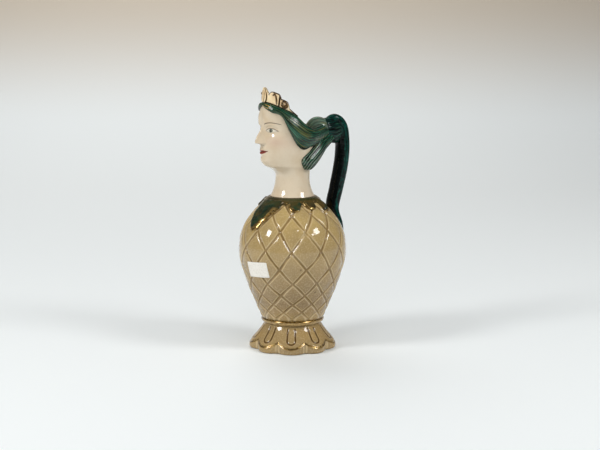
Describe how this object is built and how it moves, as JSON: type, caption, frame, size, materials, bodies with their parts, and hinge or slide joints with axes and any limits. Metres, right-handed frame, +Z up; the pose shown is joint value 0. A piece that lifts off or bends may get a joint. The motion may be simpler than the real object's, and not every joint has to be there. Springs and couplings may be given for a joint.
{
  "type": "face jug",
  "caption": "Glazed earthenware jug: a lady's head with tiara on a latticed belly and petalled foot, with a tail of hair as handle; holds and pours liquid from the open crown.",
  "frame": {"origin": "middle of the flat base, on the axis of body and neck", "axes": "+Z up along the jug's axis; the face looks along -Y, the handle is at +Y, +X is the figure's left"},
  "size_m": [0.1072, 0.1171, 0.2609],
  "materials": {
    "tan_glaze": "glossy tan glaze",
    "leaf_glaze": "glossy dark olive-green glaze with lustre edges",
    "cream_glaze": "glossy cream glaze",
    "hair_glaze": "glossy brushed dark green glaze",
    "handle_glaze": "glossy black-green glaze",
    "gilt": "gold lustre over glaze"
  },
  "bodies": {
    "root": {"foot": "tan_glaze", "foot_bead": "gilt", "body": "tan_glaze", "collar": "leaf_glaze", "leaf_front": "leaf_glaze", "leaf_left_1": "leaf_glaze", "leaf_left_2": "leaf_glaze", "leaf_left_3": "leaf_glaze", "leaf_right_1": "leaf_glaze", "leaf_right_2": "leaf_glaze", "leaf_right_3": "leaf_glaze", "head": "cream_glaze", "hair_left": "hair_glaze", "hair_right": "hair_glaze", "nape_lock_left": "hair_glaze", "nape_lock_right": "hair_glaze", "chignon": "hair_glaze", "handle": "handle_glaze", "tiara": "cream_glaze", "tiara_palmette": "cream_glaze", "tiara_arch_left": "gilt", "tiara_arch_right": "gilt", "tiara_volute_left": "gilt", "tiara_volute_right": "gilt"}
  },
  "joints": []
}
